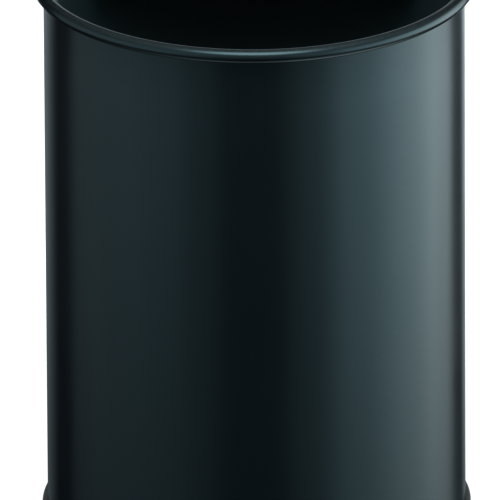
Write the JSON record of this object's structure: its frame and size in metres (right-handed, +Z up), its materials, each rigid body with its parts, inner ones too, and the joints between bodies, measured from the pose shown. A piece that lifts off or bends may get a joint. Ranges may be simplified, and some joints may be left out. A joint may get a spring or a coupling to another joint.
{
  "type": "ashtray bin",
  "caption": "Round open-top bin with a rolled rim and a plastic base ring, a lift-out liner bucket with a folding bail, and a lift-out ash tray with a perforated stub grille and knob.",
  "frame": {"origin": "centre of the face the bin stands on, on the ground", "axes": "+Z up along the bin's axis, -Y towards the front, +Y towards the back where the seam and the ash tray are"},
  "size_m": [0.2544, 0.2544, 0.34],
  "materials": {
    "shell_paint": "black semi-gloss powder coat",
    "rim_wire": "plain drawn steel wire, hidden in the rim",
    "plate_paint": "black powder coat",
    "ring_plastic": "dull black moulded plastic",
    "liner_paint": "black powder coat, thin",
    "zinc_sheet": "zinc-plated sheet steel",
    "rivet_metal": "plain aluminium",
    "zinc_wire": "zinc-plated steel wire",
    "grip_plastic": "dull black",
    "tray_steel": "stainless steel, brushed",
    "grille_steel": "stainless steel, brushed",
    "knob_plastic": "black phenolic",
    "insert_brass": "plain brass",
    "fixing_steel": "zinc-plated"
  },
  "bodies": {
    "shell": {"outer_body": "shell_paint", "rim_wire": "rim_wire", "base_plate": "plate_paint", "base_ring": "ring_plastic"},
    "liner": {"liner_bucket": "liner_paint", "liner_floor": "liner_paint", "bail_lug_left": "zinc_sheet", "bail_lug_right": "zinc_sheet", "lug_rivets": "rivet_metal"},
    "bail": {"bail_wire": "zinc_wire", "bail_grip": "grip_plastic"},
    "tray": {"ash_tray": "tray_steel"},
    "grille": {"stub_grille": "grille_steel", "grille_knob": "knob_plastic", "knob_insert": "insert_brass", "knob_screw": "fixing_steel", "knob_washer": "fixing_steel"}
  },
  "joints": [
    {"name": "liner_lift", "type": "slide", "parent": "shell", "child": "liner", "axis": [0, 0, 1], "range_m": [0, 0.36]},
    {"name": "bail_pivot", "type": "hinge", "parent": "liner", "child": "bail", "pos_m": [0, -0.012, 0.253], "axis": [-1, 0, 0], "range_deg": [0, 60]},
    {"name": "tray_lift", "type": "slide", "parent": "liner", "child": "tray", "axis": [0, 0, 1], "range_m": [0, 0.08]},
    {"name": "grille_lift", "type": "slide", "parent": "tray", "child": "grille", "axis": [0, 0, 1], "range_m": [0, 0.05]}
  ]
}
